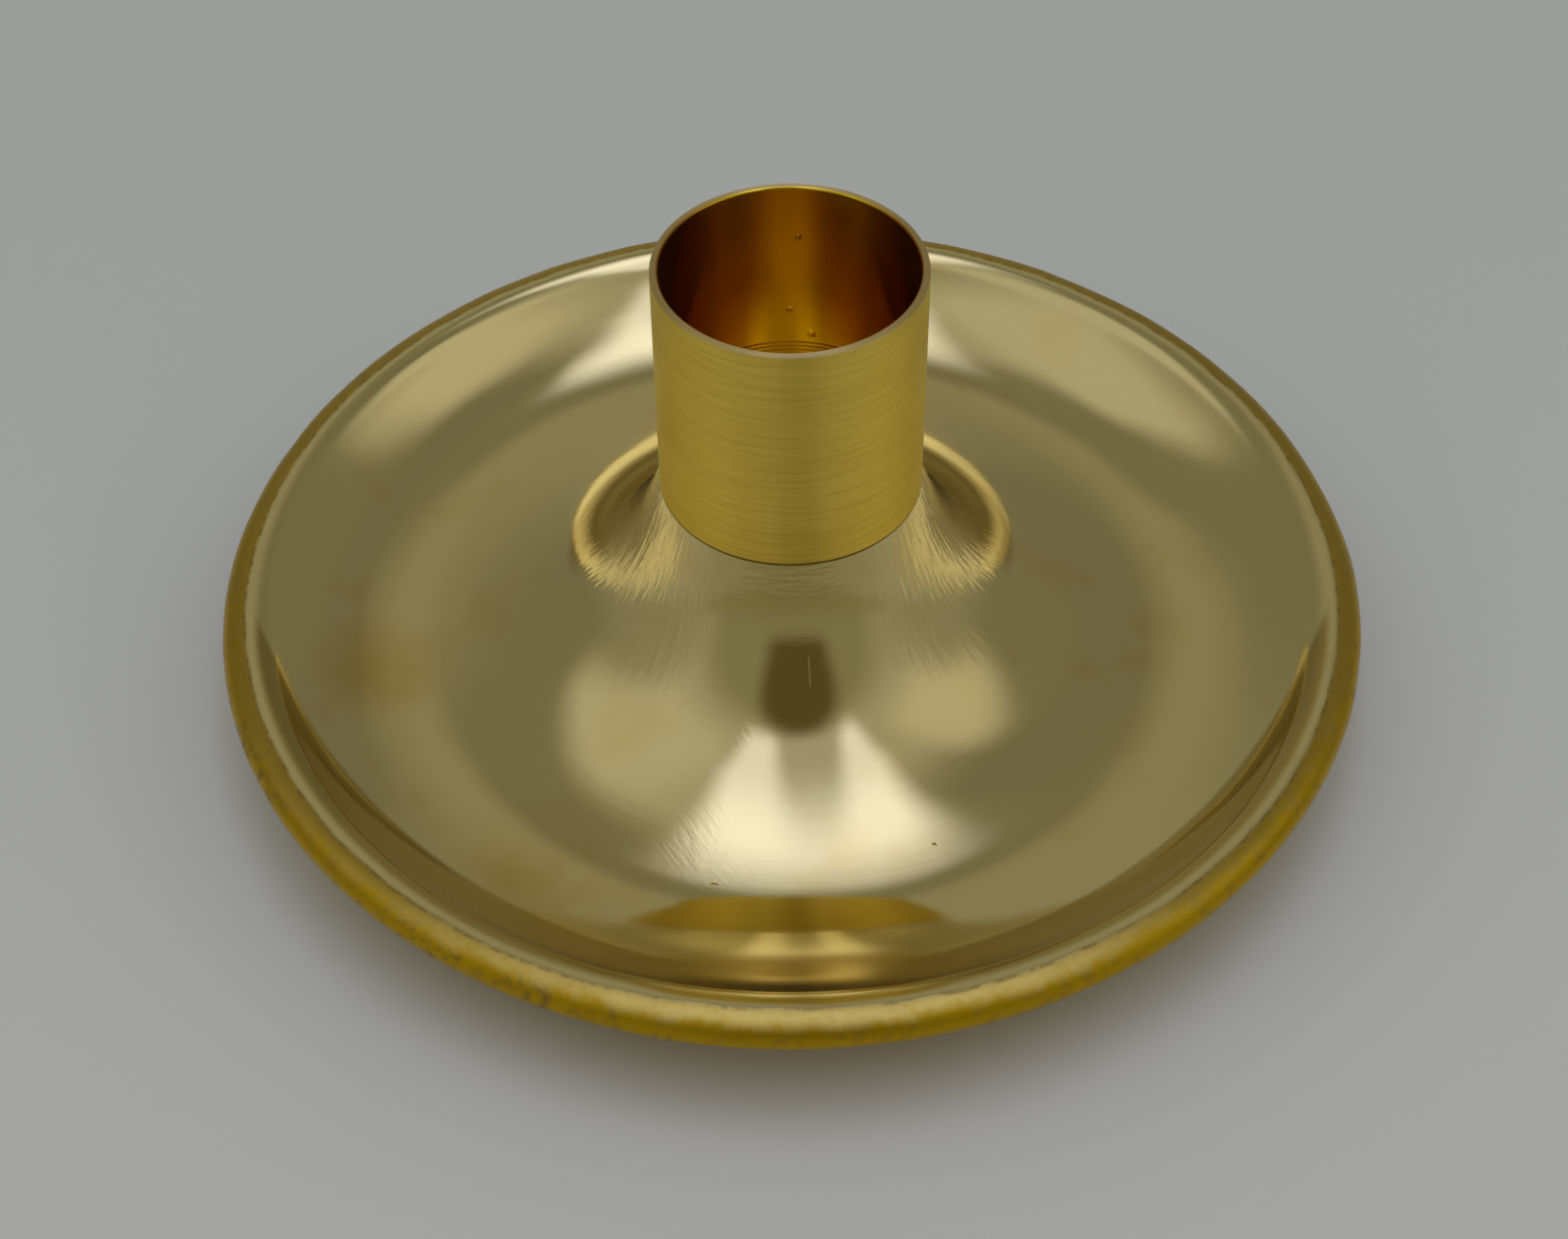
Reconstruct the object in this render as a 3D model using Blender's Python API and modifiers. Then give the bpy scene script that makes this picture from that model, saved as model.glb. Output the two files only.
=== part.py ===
"""Brass chamber candlestick: a saucer with a trumpet neck and a turned cup clamped on top of it.

Units are metres, +Z is up, and the foot ring stands on the plane z = 0 with the axis at x = y = 0.
"""

import math

import bpy
import numpy as np

# Rim and trough of the dish
RIM_DIAMETER = 0.1072
RIM_WIDTH = 0.0048
RIM_THICKNESS = 0.0036
RIM_CENTRE_HEIGHT = 0.0100
RIM_ROLL_RADIUS = 0.0032
TROUGH_DIAMETER = 0.0720
TROUGH_DEPTH = 0.0049
FLOOR_SLOPE = math.radians(8.0)

# Trumpet neck of the dish
SEAT_HEIGHT = 0.0236
NECK_ANGLE = math.radians(70.0)
NECK_PULL = 0.0077
FLARE_PULL = 0.0163

# Casting thickness and foot ring
DISH_WALL = 0.0022
SEAT_WEB = 0.0040
FOOT_DIAMETER = 0.0680
FOOT_WIDTH = 0.0040
EDGE_BREAK = 0.0004

# Candle cup
SOCKET_DIAMETER = 0.0240
SOCKET_WALL = 0.00075
SOCKET_HEIGHT = 0.0235
SOCKET_FLOOR = 0.0020
BORE_CORNER_RADIUS = 0.0015
LIP_CHAMFER = 0.0002

# Fastening under the neck
STUD_DIAMETER = 0.0060
STUD_PROUD = 0.0015
WASHER_DIAMETER = 0.0120
WASHER_THICKNESS = 0.0014
SPRING_WASHER_DIAMETER = 0.0108
SPRING_WASHER_THICKNESS = 0.0016
SPRING_WASHER_SLIT = 0.0010
SPRING_WASHER_SLIT_ANGLE = math.radians(20.0)
NUT_ACROSS_FLATS = 0.0100
NUT_THICKNESS = 0.0050
NUT_CHAMFER_ANGLE = math.radians(30.0)

# Gap between two pieces that touch, and between the stud and what it passes through
FIT_GAP = 0.0003

# Facets
ROUND_STEPS = 64
SMALL_STEPS = 32
CURVE_POINTS = 14
ARC_POINTS = 9
ROLL_POINTS = 6
CORNER_POINTS = 4
SEARCH_POINTS = 400
MERGE_DISTANCE = 0.00001
SHARP_ANGLE = math.radians(35.0)

# Worked out from the sizes above
RIM_HALF = (RIM_WIDTH / 2, RIM_THICKNESS / 2)
RIM_CENTRE = (RIM_DIAMETER / 2 - RIM_HALF[0], RIM_CENTRE_HEIGHT)
RIM_CREST = (RIM_CENTRE[0], RIM_CENTRE[1] + RIM_HALF[1])
TROUGH_BOTTOM = (TROUGH_DIAMETER / 2, RIM_CENTRE_HEIGHT - TROUGH_DEPTH)
SOCKET_RADIUS = SOCKET_DIAMETER / 2
STUD_RADIUS = STUD_DIAMETER / 2
STUD_HOLE_RADIUS = STUD_RADIUS + FIT_GAP
WEB_UNDERSIDE = SEAT_HEIGHT - SEAT_WEB
WASHER_TOP = WEB_UNDERSIDE - FIT_GAP
SPRING_WASHER_TOP = WASHER_TOP - WASHER_THICKNESS - FIT_GAP
NUT_TOP = SPRING_WASHER_TOP - SPRING_WASHER_THICKNESS - FIT_GAP
STUD_END = NUT_TOP - NUT_THICKNESS - STUD_PROUD
SOCKET_BASE = SEAT_HEIGHT + FIT_GAP


def clear_scene():
    """Remove every object of the open scene."""
    for scene_object in list(bpy.data.objects):
        bpy.data.objects.remove(scene_object, do_unlink=True)


def new_collection(name):
    """Make a collection in the scene."""
    collection = bpy.data.collections.new(name)
    bpy.context.scene.collection.children.link(collection)
    return collection


def metal(name, colour, roughness):
    """Make a metal finish with one colour and one roughness."""
    material = bpy.data.materials.new(name)
    material.use_nodes = True
    shader = material.node_tree.nodes["Principled BSDF"]
    shader.inputs["Base Color"].default_value = (*colour, 1.0)
    shader.inputs["Metallic"].default_value = 1.0
    shader.inputs["Roughness"].default_value = roughness
    return material


def arc(centre, radius, start, end, count):
    """Points (r, z) on a circle from one angle to another; angle 0 points outwards."""
    angles = np.linspace(start, end, count)
    return [(centre[0] + radius * math.cos(a), centre[1] + radius * math.sin(a)) for a in angles]


def bezier(first, first_handle, last_handle, last, count):
    """Points (r, z) on a cubic curve."""
    t = np.linspace(0.0, 1.0, count)[:, None]
    corners = [np.array(point) for point in (first, first_handle, last_handle, last)]
    weights = ((1 - t) ** 3, 3 * (1 - t) ** 2 * t, 3 * (1 - t) * t ** 2, t ** 3)
    return [tuple(point) for point in sum(w * c for w, c in zip(weights, corners))]


def lowered(points, distance):
    """Shift a curve that runs outwards by a distance along its normal, to its lower side."""
    curve = np.array(points)
    tangent = np.gradient(curve, axis=0)
    tangent /= np.linalg.norm(tangent, axis=1, keepdims=True)
    normal = np.column_stack((tangent[:, 1], -tangent[:, 0]))
    return curve + distance * normal


def in_rim(point):
    """A point (r, z) seen from the middle of the rim's oval section, in half widths and half thicknesses."""
    return (point[0] - RIM_CENTRE[0]) / RIM_HALF[0], (point[1] - RIM_CENTRE[1]) / RIM_HALF[1]


def rim_oval(start, end, count):
    """Points (r, z) on the rim's oval section from one angle to another; angle 0 points outwards."""
    circle = arc((0.0, 0.0), 1.0, start, end, count)
    return [(RIM_CENTRE[0] + RIM_HALF[0] * x, RIM_CENTRE[1] + RIM_HALF[1] * z) for x, z in circle]


def turned(name, profile, steps, closed, material, collection, height=0.0):
    """Turn a profile of (r, z) points about the Z axis into one solid.

    The profile runs down the outer side. A closed one is a ring, an open one starts and ends on the axis.
    """
    count = len(profile)
    edges = [(index, index + 1) for index in range(count - 1)]
    if closed:
        edges.append((count - 1, 0))
    outline = bpy.data.meshes.new(name + "_outline")
    outline.from_pydata([(r, 0.0, z) for r, z in profile], edges, [])
    piece = bpy.data.objects.new(name, outline)
    collection.objects.link(piece)
    screw = piece.modifiers.new("turn", "SCREW")
    screw.axis = "Z"
    screw.angle = math.tau
    screw.steps = steps
    screw.render_steps = steps
    screw.use_merge_vertices = True
    screw.merge_threshold = MERGE_DISTANCE
    graph = bpy.context.evaluated_depsgraph_get()
    solid = bpy.data.meshes.new_from_object(piece.evaluated_get(graph))
    piece.modifiers.remove(screw)
    piece.data = solid
    bpy.data.meshes.remove(outline)
    solid.name = name
    solid.shade_smooth()
    solid.set_sharp_from_angle(angle=SHARP_ANGLE)
    solid.materials.append(material)
    piece.location.z = height
    return piece


def as_cutter(piece, cutters):
    """Mark an object as a tool that shapes another one."""
    for collection in list(piece.users_collection):
        collection.objects.unlink(piece)
    cutters.objects.link(piece)
    piece.hide_render = True
    piece.display_type = "WIRE"


def cut(piece, tool, operation="DIFFERENCE"):
    """Shape a piece with a tool."""
    boolean = piece.modifiers.new(tool.name, "BOOLEAN")
    boolean.operation = operation
    boolean.solver = "EXACT"
    boolean.object = tool


def dish_top():
    """The upper surface of the dish from the edge of the neck's seat to the crest of the rim.

    Returns the flare of the neck, the wall of the trough that rolls over into the rim, and the wall's centre
    and radius.
    """
    run = RIM_CREST[0] - TROUGH_BOTTOM[0]
    turn = 2 * math.atan2(RIM_CREST[1] - TROUGH_BOTTOM[1], run)
    wall_radius = run / math.sin(turn) - RIM_ROLL_RADIUS
    wall_centre = (TROUGH_BOTTOM[0], TROUGH_BOTTOM[1] + wall_radius)
    wall = arc(wall_centre, wall_radius, -math.pi / 2 - FLOOR_SLOPE, turn - math.pi / 2, ARC_POINTS)
    roll_centre = (RIM_CREST[0], RIM_CREST[1] - RIM_ROLL_RADIUS)
    roll = arc(roll_centre, RIM_ROLL_RADIUS, math.pi / 2 + turn, math.pi / 2, ROLL_POINTS)
    seat_edge = (SOCKET_RADIUS, SEAT_HEIGHT)
    neck_handle = (
        SOCKET_RADIUS + NECK_PULL * math.cos(NECK_ANGLE),
        SEAT_HEIGHT - NECK_PULL * math.sin(NECK_ANGLE),
    )
    flare_handle = (
        wall[0][0] - FLARE_PULL * math.cos(FLOOR_SLOPE),
        wall[0][1] + FLARE_PULL * math.sin(FLOOR_SLOPE),
    )
    flare = bezier(seat_edge, neck_handle, flare_handle, wall[0], CURVE_POINTS)
    return flare, wall[:-1] + roll, wall_centre, wall_radius


def drip_dish(collection):
    """Cast saucer: seat, trumpet neck, trough, oval rim, foot ring and the hollow under the neck."""
    flare, wall, wall_centre, wall_radius = dish_top()
    under_flare = lowered(flare, DISH_WALL)
    under_radius = wall_radius + DISH_WALL
    under_start = -math.pi / 2 - FLOOR_SLOPE
    trail = arc(wall_centre, under_radius, under_start, 0.0, SEARCH_POINTS)
    rim_root = next(point for point in trail if math.hypot(*in_rim(point)) < 1.0)
    under_end = math.atan2(rim_root[1] - wall_centre[1], rim_root[0] - wall_centre[0])
    under_wall = np.array(arc(wall_centre, under_radius, under_start, under_end, ARC_POINTS))

    root_across, root_height = in_rim(rim_root)
    bead = rim_oval(math.pi / 2, math.atan2(root_height, root_across), 2 * ARC_POINTS)

    underside = np.vstack((under_flare[:-1], under_wall))
    underside = underside[underside[:, 1] < WEB_UNDERSIDE]
    web_edge = np.interp(-WEB_UNDERSIDE, -under_flare[:, 1], under_flare[:, 0])
    foot_outer = FOOT_DIAMETER / 2
    foot_inner = foot_outer - FOOT_WIDTH
    foot_top_outer = np.interp(foot_outer, underside[:, 0], underside[:, 1])
    foot_top_inner = np.interp(foot_inner, underside[:, 0], underside[:, 1])
    foot = [
        (foot_outer, foot_top_outer),
        (foot_outer, EDGE_BREAK),
        (foot_outer - EDGE_BREAK, 0.0),
        (foot_inner + EDGE_BREAK, 0.0),
        (foot_inner, EDGE_BREAK),
        (foot_inner, foot_top_inner),
    ]
    outside_foot = [tuple(p) for p in underside[::-1] if p[0] > foot_outer + EDGE_BREAK]
    inside_foot = [tuple(p) for p in underside[::-1] if p[0] < foot_inner - EDGE_BREAK]

    profile = [(STUD_HOLE_RADIUS, SEAT_HEIGHT)] + flare[:-1] + wall[:-1] + bead[:-1]
    profile += outside_foot + foot + inside_foot
    profile += [(web_edge, WEB_UNDERSIDE), (STUD_HOLE_RADIUS, WEB_UNDERSIDE)]
    finish = metal("dish_brass", (0.72, 0.60, 0.33), 0.16)
    return turned("drip_dish", profile, ROUND_STEPS, True, finish, collection)


def candle_socket(collection):
    """Turned cup with a flat floor, a rounded inner corner, a thin lip and the stud under its floor."""
    bore = SOCKET_RADIUS - SOCKET_WALL
    corner_centre = (bore - BORE_CORNER_RADIUS, SOCKET_FLOOR + BORE_CORNER_RADIUS)
    corner = arc(corner_centre, BORE_CORNER_RADIUS, -math.pi / 2, 0.0, CORNER_POINTS)
    stud_end = STUD_END - SOCKET_BASE
    profile = [(0.0, SOCKET_FLOOR)] + corner + [
        (bore, SOCKET_HEIGHT - LIP_CHAMFER),
        (bore + LIP_CHAMFER, SOCKET_HEIGHT),
        (SOCKET_RADIUS - LIP_CHAMFER, SOCKET_HEIGHT),
        (SOCKET_RADIUS, SOCKET_HEIGHT - LIP_CHAMFER),
        (SOCKET_RADIUS, 0.0),
        (STUD_RADIUS, 0.0),
        (STUD_RADIUS, stud_end + EDGE_BREAK),
        (STUD_RADIUS - EDGE_BREAK, stud_end),
        (0.0, stud_end),
    ]
    finish = metal("socket_brass", (0.68, 0.50, 0.14), 0.32)
    return turned("candle_socket", profile, ROUND_STEPS, False, finish, collection, SOCKET_BASE)


def ring(name, outer_diameter, thickness, top, material, collection):
    """Flat ring around the stud, hung from its top face."""
    outer = outer_diameter / 2
    profile = [
        (STUD_HOLE_RADIUS, 0.0),
        (outer, 0.0),
        (outer, -thickness),
        (STUD_HOLE_RADIUS, -thickness),
    ]
    return turned(name, profile, SMALL_STEPS, True, material, collection, top)


def plain_washer(collection):
    """Flat washer under the neck's web."""
    finish = metal("washer_brass", (0.70, 0.55, 0.24), 0.35)
    return ring("plain_washer", WASHER_DIAMETER, WASHER_THICKNESS, WASHER_TOP, finish, collection)


def spring_washer(collection, cutters):
    """Split washer: a flat ring with a slanted slit through one side."""
    finish = metal("spring_steel", (0.45, 0.45, 0.46), 0.40)
    diameter = SPRING_WASHER_DIAMETER
    thickness = SPRING_WASHER_THICKNESS
    piece = ring("spring_washer", diameter, thickness, SPRING_WASHER_TOP, finish, collection)
    bpy.ops.mesh.primitive_cube_add(size=1.0)
    slit = bpy.context.object
    slit.name = "slit_cutter"
    slit.scale = (diameter, SPRING_WASHER_SLIT, 3 * thickness)
    slit.rotation_euler.x = SPRING_WASHER_SLIT_ANGLE
    slit.location = (diameter / 2, 0.0, SPRING_WASHER_TOP - thickness / 2)
    as_cutter(slit, cutters)
    cut(piece, slit)
    return piece


def fixing_nut(collection, cutters):
    """Hexagon nut with chamfered corners and a plain bore."""
    corner_radius = NUT_ACROSS_FLATS / math.sqrt(3.0)
    bpy.ops.mesh.primitive_cylinder_add(vertices=6, radius=corner_radius, depth=NUT_THICKNESS)
    piece = bpy.context.object
    piece.name = "fixing_nut"
    for other in list(piece.users_collection):
        other.objects.unlink(piece)
    collection.objects.link(piece)
    piece.location.z = NUT_TOP - NUT_THICKNESS / 2
    piece.data.materials.append(metal("nut_brass", (0.66, 0.50, 0.20), 0.35))

    half = NUT_THICKNESS / 2
    flat_radius = NUT_ACROSS_FLATS / 2
    belt = corner_radius + EDGE_BREAK
    drop = (belt - flat_radius) * math.tan(NUT_CHAMFER_ANGLE)
    profile = [
        (STUD_HOLE_RADIUS, half + EDGE_BREAK),
        (flat_radius - EDGE_BREAK, half + EDGE_BREAK),
        (flat_radius, half),
        (belt, half - drop),
        (belt, drop - half),
        (flat_radius, -half),
        (flat_radius - EDGE_BREAK, -half - EDGE_BREAK),
        (STUD_HOLE_RADIUS, -half - EDGE_BREAK),
    ]
    finish = piece.data.materials[0]
    blank = turned("nut_blank", profile, SMALL_STEPS, True, finish, cutters, piece.location.z)
    as_cutter(blank, cutters)
    cut(piece, blank, "INTERSECT")
    return piece


def main():
    """Build every piece and hang it on one empty at the middle of the foot."""
    clear_scene()
    parts = new_collection("candlestick")
    cutters = new_collection("cutters")
    pieces = [
        drip_dish(parts),
        candle_socket(parts),
        plain_washer(parts),
        spring_washer(parts, cutters),
        fixing_nut(parts, cutters),
    ]
    origin = bpy.data.objects.new("candlestick_origin", None)
    parts.objects.link(origin)
    for piece in pieces:
        piece.parent = origin


main()
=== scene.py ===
"""Brass candlestick, dressed: a buffed drip dish, a brushed candle cup and their fastening.

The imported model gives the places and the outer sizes. This script turns fine meshes on them,
gives each piece its finish, and sets a pale table, soft light and the camera around them.
Units are metres, +Z is up, and the axis of the candlestick is x = y = 0.
"""

import logging
import math
from dataclasses import dataclass
from enum import Enum
from typing import Any, Optional, Union

import bpy
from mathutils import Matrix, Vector


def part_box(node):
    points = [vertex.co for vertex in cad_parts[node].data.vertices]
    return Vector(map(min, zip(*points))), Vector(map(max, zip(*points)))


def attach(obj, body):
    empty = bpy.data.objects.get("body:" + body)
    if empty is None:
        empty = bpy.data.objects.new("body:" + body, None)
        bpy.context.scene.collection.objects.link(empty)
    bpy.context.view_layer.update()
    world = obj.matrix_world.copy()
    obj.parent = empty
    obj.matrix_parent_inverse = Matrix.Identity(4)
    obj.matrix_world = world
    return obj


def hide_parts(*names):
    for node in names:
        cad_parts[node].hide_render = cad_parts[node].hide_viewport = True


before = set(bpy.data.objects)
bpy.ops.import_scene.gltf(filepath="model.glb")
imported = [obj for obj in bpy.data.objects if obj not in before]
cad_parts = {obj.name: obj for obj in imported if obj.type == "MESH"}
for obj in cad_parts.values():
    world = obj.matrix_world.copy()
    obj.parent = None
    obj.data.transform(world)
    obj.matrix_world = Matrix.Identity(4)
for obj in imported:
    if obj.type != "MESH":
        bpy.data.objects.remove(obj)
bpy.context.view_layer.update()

LOG = logging.getLogger("candlestick")
BODY = "root"
MICRON = 1e-6
QUARTER_TURN = math.pi / 2

# Square of a distance that keeps a radius above 0 on the axis
TINY = 1e-12

# Sockets of the Mix node that carry colours
MIX_FIRST = 6
MIX_SECOND = 7
MIX_RESULT = 2

# Meshes: welding, shading, and the least upward part of a normal on a top, and on a top or an outer side
MERGE_DISTANCE = 2e-6
SMOOTH_ANGLE = math.radians(32.0)
TOP_NORMAL = 0.5
OUTER_NORMAL = -0.5

# Anisotropic rotation that stretches a highlight along the outline of a turned piece
ALONG_THE_OUTLINE = 0.25

# Dark line under the cup, and the room that the flats on the rim take
SEAM = 0.0001
RIM_PLAY = 0.00005

# Screw threads: half of a crest's flat as a share of the pitch, spare turns at each end, facets of a turn
CREST_FLAT = 0.06
SPARE_TURNS = 2
THREAD_STEPS = 40

Point = tuple[float, float]
Span = tuple[float, float]
Colour = tuple[float, float, float]
Place = tuple[float, float, float]
Number = Union["Field", float]


class Cut(Enum):
    """How one solid shapes another."""

    JOIN = "UNION"
    TAKE_AWAY = "DIFFERENCE"
    KEEP_COMMON = "INTERSECT"


class Grain(Enum):
    """Marks of the polisher on a turned piece: per radian round it, and per metre across the hoops."""

    FINE_HOOPS = (3.0, 9000.0)
    BROAD_HOOPS = (2.0, 1600.0)
    UP_THE_NECK = (34.0, 330.0)
    LATHE_LINES = (1.5, 4200.0)
    SHORT_HAIRS = (160.0, 900.0)
    SCUFFS = (7.0, 2600.0)


class Mottle(Enum):
    """Soft patches on a surface: patches per metre, and octaves of finer ones in them."""

    CLOUDS = (90.0, 3.0)
    HANDLING = (160.0, 3.0)
    PATCHES = (320.0, 3.0)
    DULLING = (700.0, 4.0)
    FLECKS = (900.0, 4.0)
    FIBRES = (1500.0, 2.0)
    CAST_SKIN = (2200.0, 3.0)
    GRIT = (3200.0, 2.0)


@dataclass(frozen=True)
class Spot:
    """A soft ball that marks the surface it cuts: its middle, where it has faded out, its strength."""

    place: Place
    size: float
    strength: float = 1.0


# Shader arithmetic


class Field:
    """A number that changes over a surface: one shader socket that takes Python arithmetic."""

    def __init__(self, graph: "NodeGraph", socket: bpy.types.NodeSocket) -> None:
        """Keep the graph and the socket that carries the number."""
        self.graph = graph
        self.socket = socket

    def _math(self, operation: str, first: Number, second: Number = 0.0) -> "Field":
        """Add one Math node.

        Args:
            operation: Name of the node's operation.
            first: Its first number.
            second: Its second number, where the operation has one.

        Returns:
            The node's result.
        """
        return self.graph.field("ShaderNodeMath", {"operation": operation}, {0: first, 1: second})

    def __add__(self, other: Number) -> "Field":
        """Sum."""
        return self._math("ADD", self, other)

    def __radd__(self, other: Number) -> "Field":
        """Sum with a plain number on the left."""
        return self._math("ADD", other, self)

    def __sub__(self, other: Number) -> "Field":
        """Difference."""
        return self._math("SUBTRACT", self, other)

    def __rsub__(self, other: Number) -> "Field":
        """Difference from a plain number."""
        return self._math("SUBTRACT", other, self)

    def __mul__(self, other: Number) -> "Field":
        """Product."""
        return self._math("MULTIPLY", self, other)

    def __rmul__(self, other: Number) -> "Field":
        """Product with a plain number on the left."""
        return self._math("MULTIPLY", other, self)

    def __truediv__(self, other: Number) -> "Field":
        """Quotient."""
        return self._math("DIVIDE", self, other)

    def __pow__(self, exponent: float) -> "Field":
        """Power."""
        return self._math("POWER", self, exponent)

    def __abs__(self) -> "Field":
        """Size without its sign."""
        return self._math("ABSOLUTE", self)

    def least(self, other: Number) -> "Field":
        """The smaller of two numbers."""
        return self._math("MINIMUM", self, other)

    def rise(self, start: float, end: float) -> "Field":
        """Soft step.

        Args:
            start: Where the step is still 0.
            end: Where it has reached 1. It may be the smaller number.

        Returns:
            A number from 0 to 1.
        """
        ends = {"Value": self, "From Min": start, "From Max": end}
        return self.graph.field("ShaderNodeMapRange", {"interpolation_type": "SMOOTHSTEP"}, ends)


class NodeGraph:
    """The shader nodes of one finish or of the light around the table."""

    def __init__(self, tree: bpy.types.NodeTree) -> None:
        """Keep the node tree."""
        self.tree = tree

    def node(
        self,
        kind: str,
        settings: Optional[dict[str, Any]] = None,
        inputs: Optional[dict[Union[int, str], Any]] = None,
        output: Union[int, str] = 0,
    ) -> bpy.types.NodeSocket:
        """Add any node.

        Args:
            kind: The node's type.
            settings: Its properties, set first.
            inputs: Values or links of its sockets, by name or number.
            output: Name or number of the socket that is wanted.

        Returns:
            That output socket.
        """
        made = self.tree.nodes.new(kind)
        for name, setting in (settings or {}).items():
            setattr(made, name, setting)
        for name, given in (inputs or {}).items():
            self.feed(made.inputs[name], given)
        return made.outputs[output]

    def feed(self, socket: bpy.types.NodeSocket, given: Any) -> None:
        """Link a field or a socket to an input, or set the input's own value.

        Args:
            socket: The input.
            given: A field, a socket or a value.
        """
        source = given.socket if isinstance(given, Field) else given
        if isinstance(source, bpy.types.NodeSocket):
            self.tree.links.new(source, socket)
        else:
            socket.default_value = source

    def field(self, kind: str, settings: dict[str, Any], inputs: dict[Union[int, str], Any]) -> Field:
        """Add a node whose first output is a number."""
        return Field(self, self.node(kind, settings, inputs))

    def split(self, vector: bpy.types.NodeSocket) -> tuple[Field, Field, Field]:
        """The three numbers of a vector."""
        parts = self.node("ShaderNodeSeparateXYZ", inputs={0: vector}).node.outputs
        return Field(self, parts[0]), Field(self, parts[1]), Field(self, parts[2])

    def vector(self, x: Number, y: Number, z: Number) -> bpy.types.NodeSocket:
        """A vector of three numbers."""
        return self.node("ShaderNodeCombineXYZ", inputs={0: x, 1: y, 2: z})

    def mix(self, share: Number, first: Any, second: Any) -> bpy.types.NodeSocket:
        """Blend two colours.

        Args:
            share: 0 gives the first colour, 1 the second.
            first: A colour or a socket.
            second: A colour or a socket.

        Returns:
            The blended colour.
        """
        ends = [(*end, 1.0) if isinstance(end, tuple) else end for end in (first, second)]
        settings = {"data_type": "RGBA", "clamp_factor": True}
        inputs = {0: share, MIX_FIRST: ends[0], MIX_SECOND: ends[1]}
        return self.node("ShaderNodeMix", settings, inputs, MIX_RESULT)

    def noise(self, vector: Any, scale: float, detail: float = 2.0, w: Optional[Number] = None) -> Field:
        """Soft noise about 0.5.

        Args:
            vector: Where it is read.
            scale: Features per unit of that vector.
            detail: Octaves of finer noise.
            w: A fourth coordinate, where the noise needs one.

        Returns:
            The noise.
        """
        inputs = {"Vector": vector, "Scale": scale, "Detail": detail}
        if w is not None:
            inputs["W"] = w
        return self.field("ShaderNodeTexNoise", {"noise_dimensions": "3D" if w is None else "4D"}, inputs)


class FinishGraph(NodeGraph):
    """The nodes of one finish on a piece turned about the Z axis."""

    def __init__(self, name: str) -> None:
        """Make the material and read a point's distance from the axis, its height and its bearing.

        Args:
            name: Name of the material.
        """
        self.material = bpy.data.materials.new(name)
        self.material.use_nodes = True
        super().__init__(self.material.node_tree)
        self.shader = self.tree.nodes["Principled BSDF"]
        self.place = self.node("ShaderNodeTexCoord", output="Object")
        self.x, self.y, self.height = self.split(self.place)
        self.radius = (self.x * self.x + self.y * self.y + TINY) ** 0.5
        self.east = self.x / self.radius
        self.north = self.y / self.radius

    def marks(self, grain: Grain, detail: float = 2.0) -> Field:
        """Marks that lie round or along a turned piece.

        Args:
            grain: How they lie.
            detail: Octaves of finer marks.

        Returns:
            A number about 0.
        """
        around, across = grain.value
        vector = self.vector(self.east * around, self.north * around, self.height * across)
        return self.noise(vector, 1.0, detail, w=self.radius * across) - 0.5

    def turned_to(self, bearing: float) -> tuple[Field, Field]:
        """Distances in plan along a bearing and across it.

        Args:
            bearing: Angle from +X, in degrees.

        Returns:
            The distance along the bearing, and the distance to its left.
        """
        east = math.cos(math.radians(bearing))
        north = math.sin(math.radians(bearing))
        return self.x * east + self.y * north, self.y * east - self.x * north

    def mottle(self, kind: Mottle) -> Field:
        """Soft patches about 0.5."""
        return self.noise(self.place, *kind.value)

    def spots(self, spots: tuple[Spot, ...]) -> Field:
        """Soft balls that mark the surface.

        Args:
            spots: The balls.

        Returns:
            Their strength in their middles, 0 outside.
        """
        total: Number = 0.0
        for spot in spots:
            ends = {0: self.place, 1: spot.place}
            distance = self.node("ShaderNodeVectorMath", {"operation": "DISTANCE"}, ends, "Value")
            total = total + spot.strength * Field(self, distance).rise(spot.size, 0.0)
        return total

    def scratch(self, bearing: float, span: Span, width: float) -> Field:
        """A thin scratch that runs away from the axis.

        Args:
            bearing: Angle from +X, in degrees.
            span: Where it starts and ends, from the axis.
            width: Half of its width.

        Returns:
            1 in its middle, 0 outside.
        """
        ahead, aside = self.turned_to(bearing)
        fade = (span[1] - span[0]) / 4
        length = ahead.rise(span[0], span[0] + fade) * ahead.rise(span[1], span[1] - fade)
        return abs(aside).rise(width, 0.0) * length

    def combed(self, bearing: float, along: float, across: float) -> Field:
        """Straight marks that lie one way in plan.

        Args:
            bearing: The way they lie, from +X, in degrees.
            along: Marks per metre along it.
            across: Marks per metre across it.

        Returns:
            A number about 0.
        """
        ahead, aside = self.turned_to(bearing)
        return self.noise(self.vector(ahead * along, aside * across, self.height * along), 1.0) - 0.5

    def set(self, **sockets: Any) -> None:
        """Give the surface its values.

        Args:
            **sockets: Fields, sockets or values by the name of their input, with _ for a space.
        """
        for name, given in sockets.items():
            value = (*given, 1.0) if isinstance(given, tuple) else given
            self.feed(self.shader.inputs[name.replace("_", " ")], value)

    def bump(self, height: Field) -> None:
        """Tilt the surface by a height in microns."""
        inputs = {"Strength": 1.0, "Distance": MICRON, "Height": height}
        self.set(Normal=self.node("ShaderNodeBump", None, inputs))


# Finishes


@dataclass(frozen=True)
class DishAreas:
    """Where the dish changes its finish, from 0 to 1, and what breaks the edges up.

    Beyond is the distance outside the rim's crest.
    """

    clouds: Field
    patches: Field
    flecks: Field
    beyond: Field
    rim: Field
    under: Field
    collar: Field
    beside: Field
    haze: Field


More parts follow.
